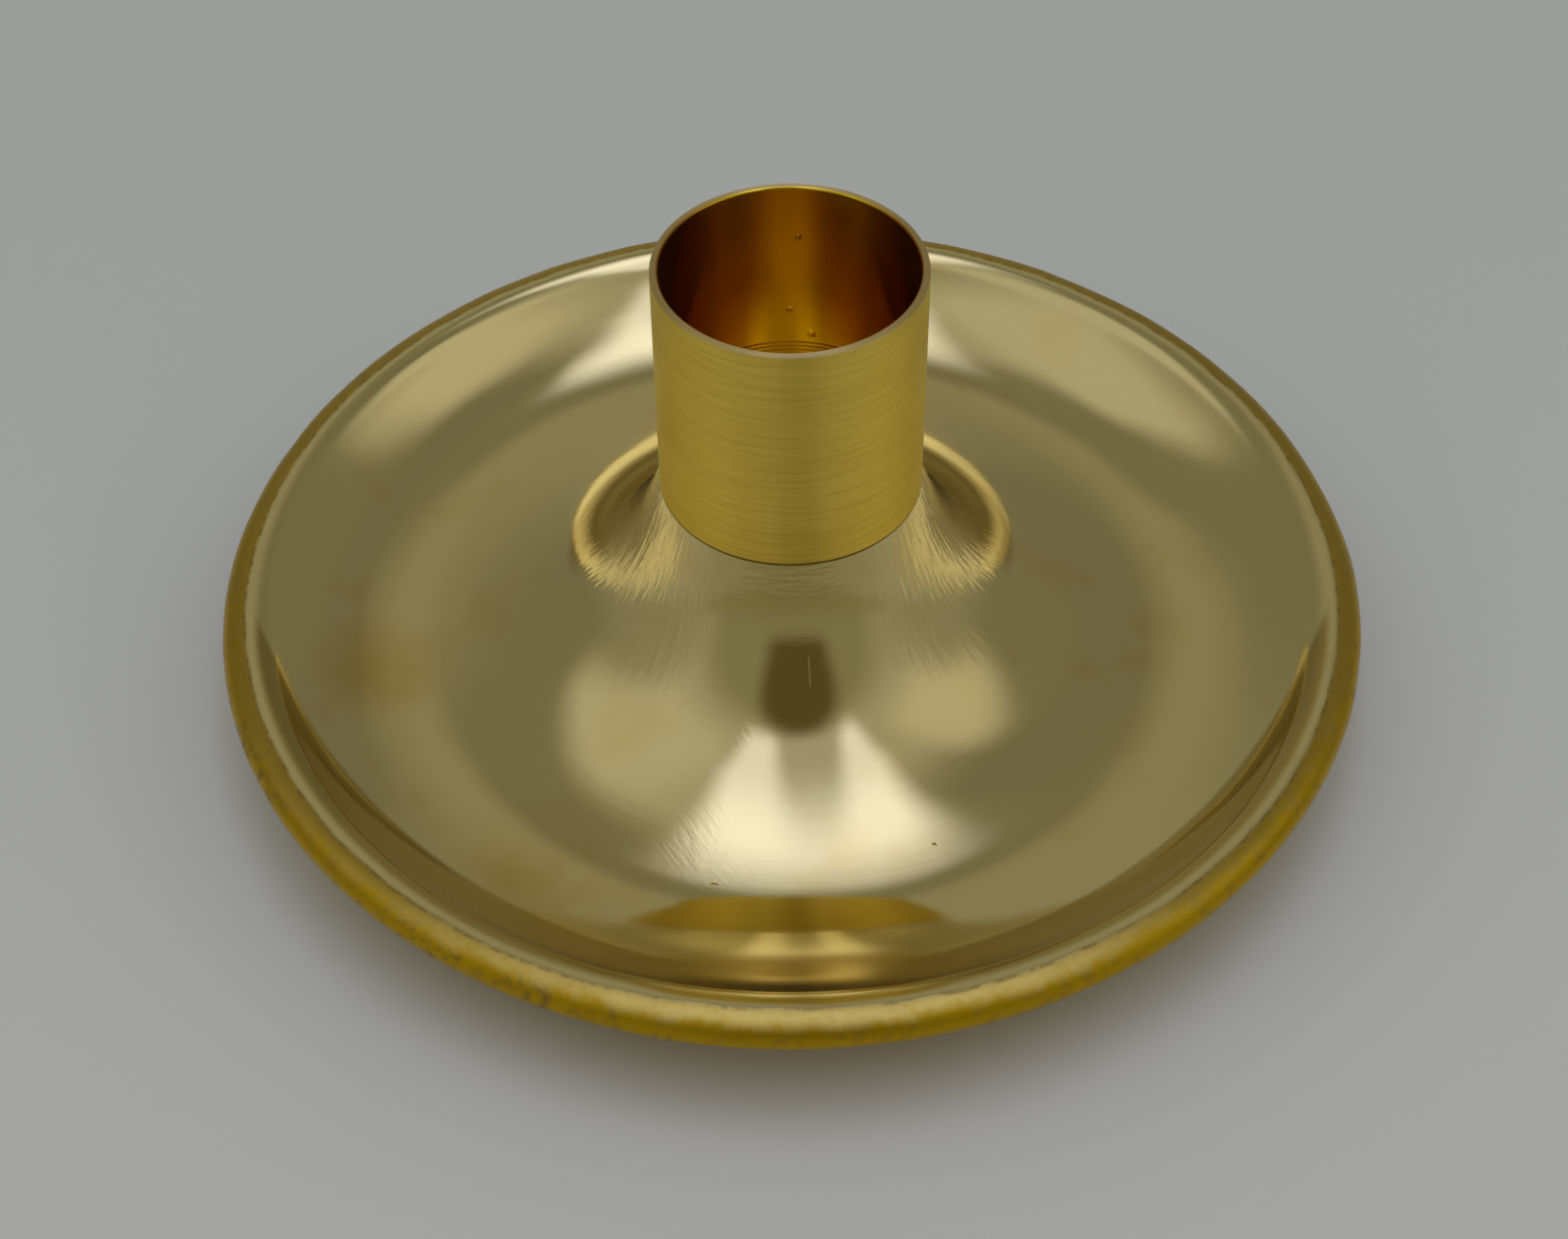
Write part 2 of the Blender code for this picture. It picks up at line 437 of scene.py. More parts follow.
@dataclass(frozen=True)
class BuffedBrass:
    """The dish: buffed trough and neck, a satin rim with brown patina, and a cast skin underneath.

    Apart from the scratch's, a span is a soft step: where it starts and where it is full. On the rim it is
    measured from the crest, elsewhere from the axis. A front, a back and a side are northings, from -1 at
    the front to 1 at the back, and breaks, flecks, patches and clouds are levels of noise. Depths of marks
    are in microns.
    """

    crest: Point

    # Colours
    polished: Colour = (0.76, 0.64, 0.295)
    satin: Colour = (0.52, 0.35, 0.054)
    # pale: a painted highlight on the rim's front
    pale: Colour = (0.82, 0.62, 0.17)
    ochre: Colour = (0.54, 0.34, 0.008)
    patina: Colour = (0.30, 0.18, 0.045)
    tarnish: Colour = (0.66, 0.46, 0.12)
    # brown: painted reflection in the front wall's crescents, and painted shade on the neck's back
    brown: Colour = (0.49, 0.365, 0.105)
    # Painted shade on the collar under the cup
    dull: Colour = (0.55, 0.44, 0.16)
    skin: Colour = (0.46, 0.32, 0.13)

    # Gloss
    polished_roughness: float = 0.055
    satin_roughness: float = 0.34
    satin_share: float = 0.8
    satin_flecks: float = 0.4
    skin_roughness: float = 0.48
    cloud_roughness: float = 0.05
    haze_roughness: float = 0.06
    wall_roughness: float = 0.10
    haze_dullness: float = 0.35
    anisotropy: float = 0.35

    # Edge of the rim, and the broken dark line along it
    rim_wander: float = 0.0005
    rim_edge: Span = (-0.0001, 0.0003)
    line_inner: Span = (-0.0001, 0.0001)
    line_outer: Span = (0.0004, 0.0002)
    line_breaks: Span = (0.40, 0.60)
    line_tint: float = 0.5

    # Rim: a painted highlight that makes its front paler, its ochre lower side and its worn patches
    highlight_front: Span = (-0.72, -0.97)
    low_patches: float = 0.0011
    low_flecks: float = 0.0008
    low_drop: float = 0.0008
    worn_flecks: Span = (0.46, 0.66)
    worn_patches: Span = (0.34, 0.62)
    worn_all_over: float = 0.12
    worn_low: float = 0.3
    worn_spotted: float = 0.6
    worn_spots: tuple[Spot, ...] = (
        Spot((-0.022, -0.046, 0.0095), 0.020),
        Spot((-0.047, -0.024, 0.0095), 0.018),
    )

    # Trough: stains, and a brown crescent of painted reflection on each side of the front wall, that ends
    # inside the crest
    stains: tuple[Spot, ...] = (
        Spot((-0.0388, -0.0072, 0.0056), 0.009),
        Spot((-0.0337, -0.0220, 0.0057), 0.008),
        Spot((-0.0210, -0.0340, 0.0053), 0.016, 0.7),
    )
    stain_clouds: Span = (0.30, 0.62)
    faint_clouds: Span = (0.55, 0.80)
    faint_tint: float = 0.35
    crescent_bow: float = 0.0084
    crescent_inner: Span = (0.0434, 0.0440)
    crescent_outer: Span = (0.0004, 0.0012)
    crescent_front: Span = (-1.0, -0.94)
    crescent_back: Span = (-0.05, -0.20)
    front_wall: Span = (0.0380, 0.0430)
    front_wall_side: Span = (-0.70, -0.93)

    # Neck: the collar under the cup with painted shade at its front, the shaded back, and the haze beside
    # the front;
    # then the underside, by the upward part of its normal
    collar: Span = (0.0148, 0.0124)
    collar_front: Span = (-0.70, -0.90)
    collar_shade_share: float = 0.8
    shade_slant: float = 0.0062
    shade_edge: Span = (0.0211, 0.0202)
    shade_back: Span = (-0.08, 0.28)
    shade_tint: float = 0.9
    neck: Span = (0.0220, 0.0160)
    haze: Span = (0.0200, 0.0165)
    beside: Span = (-0.94, -0.74)
    facing_down: Span = (-0.05, -0.30)

    # Marks
    fine_hoops: float = 0.5
    broad_hoops: float = 4.0
    long_hairs: float = 2.0
    side_hairs: float = 80.0
    short_hairs: float = 2.0
    scuff_depth: float = 9.0
    scuff_front: Span = (-0.86, -0.97)
    scuff_spots: tuple[Spot, ...] = (Spot((0.0014, -0.0148, 0.0166), 0.0022),)
    streak_depth: float = 18.0
    streak_bearing: float = -54.0
    streaks_along: float = 400.0
    streaks_across: float = 2200.0
    streak_spots: tuple[Spot, ...] = (
        Spot((-0.0075, -0.0300, 0.0060), 0.0065),
        Spot((-0.0050, -0.0190, 0.0110), 0.0030),
    )
    scratch_depth: float = 14.0
    scratch_bearing: float = -84.4
    scratch_span: Span = (0.0152, 0.0174)
    scratch_width: float = 0.00012
    fleck_depth: float = 12.0
    grit_depth: float = 6.0
    skin_depth: float = 40.0

    def areas(self, graph: FinishGraph) -> DishAreas:
        """Find where the finish changes.

        Args:
            graph: The dish's nodes.

        Returns:
            The areas.
        """
        clouds = graph.mottle(Mottle.CLOUDS)
        patches = graph.mottle(Mottle.PATCHES)
        flecks = graph.mottle(Mottle.FLECKS)
        facing = graph.split(graph.node("ShaderNodeTexCoord", output="Normal"))[2]
        beyond = graph.radius - self.crest[0] + self.rim_wander * (patches - 0.5)
        rim = beyond.rise(*self.rim_edge)
        under = facing.rise(*self.facing_down) * (1.0 - rim)
        collar = graph.radius.rise(*self.collar)
        beside = graph.north.rise(*self.beside)
        haze = graph.radius.rise(*self.haze) * beside
        return DishAreas(clouds, patches, flecks, beyond, rim, under, collar, beside, haze)

    def top_colour(self, graph: FinishGraph, areas: DishAreas) -> bpy.types.NodeSocket:
        """Colour of the trough and the neck.

        Args:
            graph: The dish's nodes.
            areas: Where the finish changes.

        Returns:
            The colour.
        """
        stained = graph.spots(self.stains) * areas.clouds.rise(*self.stain_clouds)
        stained = stained + areas.clouds.rise(*self.faint_clouds) * self.faint_tint
        colour = graph.mix(stained, self.polished, self.tarnish)

        # Painted reflection: a brown crescent on each side of the front wall
        swing = graph.north + 1.0
        inner = (graph.radius - self.crescent_bow * swing * swing).rise(*self.crescent_inner)
        outer = [self.crest[0] - distance for distance in self.crescent_outer]
        crescent = inner * graph.radius.rise(*outer)
        crescent = crescent * graph.north.rise(*self.crescent_front) * graph.north.rise(*self.crescent_back)
        colour = graph.mix(crescent, colour, self.brown)

        # Painted shade on the collar under the cup, at its front
        collar = areas.collar * self.collar_shade_share * graph.north.rise(*self.collar_front)
        colour = graph.mix(collar, colour, self.dull)
        shade = (graph.radius - self.shade_slant * graph.north).rise(*self.shade_edge)
        shade = shade * graph.north.rise(*self.shade_back) * self.shade_tint
        return graph.mix(shade, colour, self.brown)

    def colour(self, graph: FinishGraph, areas: DishAreas) -> bpy.types.NodeSocket:
        """Colour of the whole dish: the top, then the rim and the cast skin over it.

        Args:
            graph: The dish's nodes.
            areas: Where the finish changes.

        Returns:
            The colour.
        """
        wander = self.low_patches * (areas.patches - 0.5) + self.low_flecks * (areas.flecks - 0.5)
        low = (graph.height + wander).rise(self.crest[1], self.crest[1] - self.low_drop)
        spotted = self.worn_spotted * low * graph.spots(self.worn_spots)
        share = self.worn_all_over + self.worn_low * low + spotted
        worn = areas.flecks.rise(*self.worn_flecks) * areas.patches.rise(*self.worn_patches) * share
        line = areas.beyond.rise(*self.line_inner) * areas.beyond.rise(*self.line_outer)
        line = line * areas.flecks.rise(*self.line_breaks)

        # Painted highlight: the rim's top turns pale towards the front
        satin = graph.mix(graph.north.rise(*self.highlight_front), self.satin, self.pale)
        colour = graph.mix(areas.rim, self.top_colour(graph, areas), satin)
        colour = graph.mix(areas.rim * low, colour, self.ochre)
        colour = graph.mix(areas.rim * worn + self.line_tint * line, colour, self.patina)
        return graph.mix(areas.under, colour, self.skin)

    def roughness(self, graph: FinishGraph, areas: DishAreas) -> Field:
        """Gloss of the whole dish.

        Args:
            graph: The dish's nodes.
            areas: Where the finish changes.

        Returns:
            The roughness.
        """
        front_wall = graph.radius.rise(*self.front_wall) * graph.north.rise(*self.front_wall_side)
        roughness = self.polished_roughness + self.cloud_roughness * areas.clouds
        roughness = roughness + self.haze_roughness * areas.haze + self.wall_roughness * front_wall
        satin = self.satin_share + self.satin_flecks * areas.flecks
        roughness = roughness + areas.rim * (self.satin_roughness - self.polished_roughness) * satin
        return roughness + areas.under * (self.skin_roughness - self.polished_roughness)

    def relief(self, graph: FinishGraph, areas: DishAreas) -> Field:
        """Marks of buffing, wear and casting.

        Args:
            graph: The dish's nodes.
            areas: Where the finish changes.

        Returns:
            The height in microns.
        """
        hoops = graph.marks(Grain.FINE_HOOPS) * self.fine_hoops
        hoops = hoops + graph.marks(Grain.BROAD_HOOPS, detail=1.0) * self.broad_hoops
        hairs = graph.marks(Grain.UP_THE_NECK) * (self.long_hairs + self.side_hairs * areas.beside)
        hairs = hairs + graph.marks(Grain.SHORT_HAIRS) * self.short_hairs
        scuffs = graph.marks(Grain.SCUFFS) * (areas.collar + graph.spots(self.scuff_spots))
        scuffs = scuffs * graph.north.rise(*self.scuff_front)
        streaks = graph.combed(self.streak_bearing, self.streaks_along, self.streaks_across)
        streaks = streaks * graph.spots(self.streak_spots)
        scratch = graph.scratch(self.scratch_bearing, self.scratch_span, self.scratch_width)
        relief = hoops + hairs * graph.radius.rise(*self.neck) + scuffs * self.scuff_depth
        relief = relief + streaks * self.streak_depth - scratch * self.scratch_depth
        grit = graph.mottle(Mottle.GRIT) - 0.5
        relief = relief + areas.rim * ((areas.flecks - 0.5) * self.fleck_depth + grit * self.grit_depth)
        return relief + areas.under * graph.mottle(Mottle.CAST_SKIN) * self.skin_depth

    def paint(self) -> bpy.types.Material:
        """Make the material.

        Returns:
            The dish's material.
        """
        graph = FinishGraph("buffed_brass")
        areas = self.areas(graph)
        graph.set(Base_Color=self.colour(graph, areas), Roughness=self.roughness(graph, areas))
        graph.set(Metallic=1.0 - self.haze_dullness * areas.haze)
        graph.set(Anisotropic=self.anisotropy, Anisotropic_Rotation=ALONG_THE_OUTLINE)
        graph.bump(self.relief(graph, areas))
        return graph.material


@dataclass(frozen=True)
class BrushedBrass:
    """The cup: brushed round its axis, with handling marks, a paler lip and a golden, smoother bore.

    A span is a soft step: where it starts and where it is full. Depths of marks are in microns.
    """

    bore_radius: float
    floor_height: float
    lip_height: float

    # Colours
    brushed: Colour = (0.93, 0.69, 0.115)
    handled: Colour = (0.88, 0.63, 0.09)
    groove: Colour = (0.80, 0.57, 0.08)
    # Painted light on the cup's front
    painted_front_light: Colour = (1.00, 0.78, 0.155)
    lip: Colour = (0.80, 0.61, 0.27)
    deep: Colour = (0.88, 0.61, 0.03)
    # dark: painted shade on the bore's left and right sides
    dark: Colour = (0.50, 0.19, 0.02)

    # Gloss
    brushed_roughness: float = 0.50
    bore_roughness: float = 0.22
    handled_roughness: float = 0.10
    line_roughness: float = 0.12
    anisotropy: float = 0.95

    # Edges: under the floor's face, outside the bore's face and under the lip
    floor_edge: Span = (0.0003, 0.0001)
    bore_edge: Span = (0.00025, 0.0001)
    lip_edge: Span = (0.00016, 0.00006)

    # Tints: handling, painted light on the front, lathe grooves, and painted shade on the bore's sides
    handling: Span = (0.35, 0.75)
    handled_tint: float = 0.6
    front: Span = (-0.50, -0.95)
    grooves: Span = (-0.12, 0.16)
    groove_tint: float = 0.45
    shaded_sides: Span = (0.45, 0.88)

    # Marks
    line_depth: float = 2.5
    band_depth: float = 2.0
    bore_polish: float = 0.6
    pit_depth: float = 60.0
    pits: tuple[Spot, ...] = (
        Spot((0.0008, 0.0112, 0.0420), 0.0004),
        Spot((0.0, 0.0112, 0.0338), 0.0004),
        Spot((0.0020, 0.0110, 0.0310), 0.0005),
    )

    def colour(self, graph: FinishGraph, handling: Field, bore: Field) -> bpy.types.NodeSocket:
        """Colour of the cup.

        Args:
            graph: The cup's nodes.
            handling: Patches of handling.
            bore: 1 in the bore.

        Returns:
            The colour.
        """
        lip = graph.height.rise(*(self.lip_height - distance for distance in self.lip_edge))
        colour = graph.mix(handling.rise(*self.handling) * self.handled_tint, self.brushed, self.handled)
        # Painted light: the cup is lighter on its front
        colour = graph.mix(graph.north.rise(*self.front), colour, self.painted_front_light)
        grooves = graph.marks(Grain.LATHE_LINES).rise(*self.grooves) * self.groove_tint
        colour = graph.mix(grooves, colour, self.groove)
        colour = graph.mix(lip, colour, self.lip)
        # Painted shade: the bore is darker on its left and right sides
        inside = graph.mix(abs(graph.east).rise(*self.shaded_sides), self.deep, self.dark)
        return graph.mix(bore, colour, inside)

    def paint(self) -> bpy.types.Material:
        """Make the material.

        Returns:
            The cup's material.
        """
        graph = FinishGraph("brushed_brass")
        handling = graph.mottle(Mottle.HANDLING)
        lines = graph.marks(Grain.FINE_HOOPS, detail=3.0)
        bands = graph.marks(Grain.BROAD_HOOPS)
        above_floor = graph.height.rise(*(self.floor_height - distance for distance in self.floor_edge))
        bore = graph.radius.rise(*(self.bore_radius + distance for distance in self.bore_edge)) * above_floor
        roughness = self.brushed_roughness + self.handled_roughness * (handling - 0.5)
        roughness = roughness + self.line_roughness * lines
        roughness = roughness - bore * (self.brushed_roughness - self.bore_roughness)
        brushing = (lines * self.line_depth + bands * self.band_depth) * (1.0 - self.bore_polish * bore)
        graph.set(Base_Color=self.colour(graph, handling, bore), Roughness=roughness, Metallic=1.0)
        graph.set(Anisotropic=self.anisotropy, Anisotropic_Rotation=ALONG_THE_OUTLINE)
        graph.bump(brushing - graph.spots(self.pits) * bore * self.pit_depth)
        return graph.material


@dataclass(frozen=True)
class MachinedMetal:
    """Washers and nut: turned or milled metal, a little dulled. Depths of marks are in microns."""

    name: str
    bright: Colour
    dulled: Colour
    roughness: float
    dulling: Span = (0.40, 0.72)
    roughness_play: float = 0.25
    line_depth: float = 3.0
    dull_depth: float = 4.0

    def paint(self) -> bpy.types.Material:
        """Make the material.

        Returns:
            The metal's material.
        """
        graph = FinishGraph(self.name)
        dulling = graph.mottle(Mottle.DULLING)
        colour = graph.mix(dulling.rise(*self.dulling), self.bright, self.dulled)
        roughness = self.roughness + self.roughness_play * (dulling - 0.5)
        graph.set(Base_Color=colour, Roughness=roughness, Metallic=1.0)
        graph.bump(graph.marks(Grain.FINE_HOOPS) * self.line_depth + dulling * self.dull_depth)
        return graph.material


@dataclass(frozen=True)
class PaleTable:
    """The table: a plain, pale, matt sheet with painted shade that makes it a little darker towards the back
    and far out.
    """

    front: Colour = (0.915, 0.915, 0.835)
    back: Colour = (0.795, 0.825, 0.75)
    # Painted shade far out on the table
    far: Colour = (0.60, 0.60, 0.38)
    roughness: float = 0.7
    to_the_back: Span = (-0.10, 0.13)
    far_out: Span = (0.20, 0.32)
    wander: float = 0.02

    def paint(self) -> bpy.types.Material:
        """Make the material.

        Returns:
            The table's material.
        """
        graph = FinishGraph("pale_table")
        # Painted shade: darker towards the back, and far out
        backwards = (graph.y + self.wander * graph.mottle(Mottle.FIBRES)).rise(*self.to_the_back)
        colour = graph.mix(backwards, self.front, self.back)
        colour = graph.mix(graph.radius.rise(*self.far_out), colour, self.far)
        graph.set(Base_Color=colour, Roughness=self.roughness)
        return graph.material


# Modelling


def nothing_selected() -> None:
    """Leave edit mode and deselect every object."""
    if bpy.context.object is not None and bpy.context.object.mode != "OBJECT":
        bpy.ops.object.mode_set(mode="OBJECT")
    bpy.ops.object.select_all(action="DESELECT")


def arc(centre: Point, radius: float, start: float, end: float, count: int) -> list[Point]:
    """Points on a circle.

    Args:
        centre: Its centre (r, z).
        radius: Its radius.
        start: First angle; 0 points away from the axis.
        end: Last angle.
        count: How many points.

    Returns:
        The points (r, z).
    """
    angles = [start + (end - start) * step / (count - 1) for step in range(count)]
    return [(centre[0] + radius * math.cos(a), centre[1] + radius * math.sin(a)) for a in angles]


def bezier(first: Point, pull: Point, push: Point, last: Point, count: int) -> list[Point]:
    """Points on a cubic curve.

    Args:
        first: Its start.
        pull: Handle of the start.
        push: Handle of the end.
        last: Its end.
        count: How many points.

    Returns:
        The points (r, z).
    """
    curve = []
    for step in range(count):
        t = step / (count - 1)
        shares = ((1 - t) ** 3, 3 * (1 - t) ** 2 * t, 3 * (1 - t) * t ** 2, t ** 3)
        ends = (first, pull, push, last)
        curve.append(tuple(sum(share * end[axis] for share, end in zip(shares, ends)) for axis in (0, 1)))
    return curve


def lowered(curve: list[Point], distance: float) -> list[Point]:
    """Shift a curve that runs outwards along its normal, to its lower side.

    Args:
        curve: The points (r, z).
        distance: How far to shift it.

    Returns:
        The shifted points.
    """
    shifted = []
    for index, here in enumerate(curve):
        before = curve[max(index - 1, 0)]
        after = curve[min(index + 1, len(curve) - 1)]
        along = Vector((after[0] - before[0], after[1] - before[1])).normalized()
        shifted.append((here[0] + along.y * distance, here[1] - along.x * distance))
    return shifted


def draw_outline(name: str, outline: list[Point]) -> bpy.types.Object:
    """Draw a chain of edges in the XZ plane by extruding one vertex, and stay in edit mode.

    Args:
        name: Name of the new object.
        outline: Its points (r, z).

    Returns:
        The object.
    """
    nothing_selected()
    bpy.ops.mesh.primitive_plane_add(size=0.001)
    piece = bpy.context.object
    piece.name = name
    piece.data.name = name
    bpy.ops.object.mode_set(mode="EDIT")
    bpy.ops.mesh.select_mode(type="VERT")
    bpy.ops.mesh.select_all(action="SELECT")
    bpy.ops.mesh.merge(type="CENTER")
    bpy.ops.transform.translate(value=(outline[0][0], 0.0, outline[0][1]))
    for here, there in zip(outline, outline[1:]):
        step = (there[0] - here[0], 0.0, there[1] - here[1])
        bpy.ops.mesh.extrude_region_move(TRANSFORM_OT_translate={"value": step})
    bpy.ops.mesh.select_all(action="SELECT")
    return piece


def weld() -> None:
    """Merge doubles and point the faces outwards, in edit mode."""
    bpy.ops.mesh.select_all(action="SELECT")
    bpy.ops.mesh.remove_doubles(threshold=MERGE_DISTANCE)
    bpy.ops.mesh.normals_make_consistent(inside=False)


def turn(name: str, outline: list[Point], steps: int) -> bpy.types.Object:
    """Turn an outline about the Z axis into a closed solid.

    Args:
        name: Name of the new object.
        outline: Points (r, z). It starts and ends on the axis, or on one point.
        steps: Facets around.

    Returns:
        The solid.
    """
    piece = draw_outline(name, outline)
    bpy.ops.mesh.spin(steps=steps, angle=math.tau, center=(0.0, 0.0, 0.0), axis=(0.0, 0.0, 1.0))
    weld()
    bpy.ops.object.mode_set(mode="OBJECT")
    return piece


def apply_modifier(piece: bpy.types.Object, kind: str, settings: dict[str, Any]) -> None:
    """Add a modifier to a piece and apply it.

    Args:
        piece: The piece.
        kind: The modifier's type.
        settings: Its properties.
    """
    nothing_selected()
    piece.select_set(True)
    bpy.context.view_layer.objects.active = piece
    modifier = piece.modifiers.new(kind.lower(), kind)
    for name, setting in settings.items():
        setattr(modifier, name, setting)
    bpy.ops.object.modifier_apply(modifier=modifier.name)


def cut(piece: bpy.types.Object, tool: bpy.types.Object, way: Cut) -> None:
    """Shape a piece with a tool, and throw the tool away.

    Args:
        piece: The piece.
        tool: The solid that shapes it.
        way: How it does.
    """
    apply_modifier(piece, "BOOLEAN", {"object": tool, "operation": way.value, "solver": "EXACT"})
    bpy.data.objects.remove(tool, do_unlink=True)


def roughen(piece: bpy.types.Object, ring: Span, depth: float, size: float) -> None:
    """Give the top and the outer side of a turned piece the slight waves of handwork, from a ring outwards.

    Args:
        piece: The piece.
        ring: Where the waves start, and where they are full, from the axis.
        depth: Height of the waves.
        size: Length of the waves.
    """
    group = piece.vertex_groups.new(name="waves")
    for vertex in piece.data.vertices:
        share = (vertex.co.xy.length - ring[0]) / (ring[1] - ring[0])
        if share > 0.0 and vertex.normal.z > OUTER_NORMAL:
            group.add([vertex.index], min(share, 1.0), "REPLACE")
    clouds = bpy.data.textures.new("waves", "CLOUDS")
    clouds.noise_scale = size
    clouds.noise_depth = 1
    waves = {"texture": clouds, "texture_coords": "LOCAL", "strength": depth, "mid_level": 0.5}
    apply_modifier(piece, "DISPLACE", {**waves, "vertex_group": group.name})
    piece.vertex_groups.clear()


def dent(piece: bpy.types.Object, place: Point, size: float) -> None:
    """Push a small pit into the upper side of a piece.

    Args:
        piece: The piece.
        place: Where the pit is, in plan.
        size: Its radius, and its depth.
    """
    nothing_selected()
    piece.select_set(True)
    bpy.context.view_layer.objects.active = piece
    bpy.ops.object.mode_set(mode="EDIT")
    bpy.ops.mesh.select_mode(type="FACE")
    bpy.ops.mesh.select_all(action="DESELECT")
    bpy.ops.object.mode_set(mode="OBJECT")
    upper = [face for face in piece.data.polygons if face.normal.z > TOP_NORMAL]
    face = min(upper, key=lambda found: (found.center.xy - Vector(place)).length)
    side = math.sqrt(face.area)
    down = -size * face.normal
    face.select = True
    bpy.ops.object.mode_set(mode="EDIT")
    bpy.ops.mesh.inset(thickness=side / 2 - size)
    bpy.ops.mesh.inset(thickness=size / 2)
    bpy.ops.transform.translate(value=down)
    bpy.ops.object.mode_set(mode="OBJECT")


def threaded_rod(name: str, crest: float, root: float, pitch: float, ends: Span) -> bpy.types.Object:
    """A rod with a screw thread and flat ends.

    Args:
        name: Name of the new object.
        crest: Outer radius of the thread.
        root: Inner radius of the thread.
        pitch: Rise of one turn.
        ends: Heights of the lower and the upper end.

    Returns:
        The rod.
    """
    bottom, top = ends
    flat = CREST_FLAT * pitch
    start = bottom - SPARE_TURNS * pitch
    tooth = [
        (root, start),
        (crest, start + pitch / 2 - flat),
        (crest, start + pitch / 2 + flat),
        (root, start + pitch),
    ]
    rod = draw_outline(name, tooth)
    bpy.ops.object.mode_set(mode="OBJECT")
    turns = math.ceil((top - bottom) / pitch) + 2 * SPARE_TURNS
    winding = {"axis": "Z", "angle": math.tau, "screw_offset": pitch, "iterations": turns}
    facets = {"steps": THREAD_STEPS, "render_steps": THREAD_STEPS, "use_smooth_shade": False}
    apply_modifier(rod, "SCREW", {**winding, **facets})
    bpy.ops.object.mode_set(mode="EDIT")
    weld()
    for height, way in ((bottom, -1.0), (top, 1.0)):
        bpy.ops.mesh.select_all(action="SELECT")
        bpy.ops.mesh.bisect(plane_co=(0, 0, height), plane_no=(0, 0, way), use_fill=True, clear_outer=True)
    weld()
    bpy.ops.object.mode_set(mode="OBJECT")
    return rod


def finish_piece(piece: bpy.types.Object, material: bpy.types.Material, node: str) -> None:
    """Shade a piece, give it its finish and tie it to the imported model.

    Args:
        piece: The finished mesh.
        material: Its finish.
        node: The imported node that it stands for.
    """
    nothing_selected()
    piece.select_set(True)
    bpy.context.view_layer.objects.active = piece
    bpy.ops.object.shade_smooth_by_angle(angle=SMOOTH_ANGLE)
    piece.data.materials.clear()
    piece.data.materials.append(material)
    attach(piece, BODY)
    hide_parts(node)
    LOG.info("%s: %d faces", piece.name, len(piece.data.polygons))


# Sub-assemblies


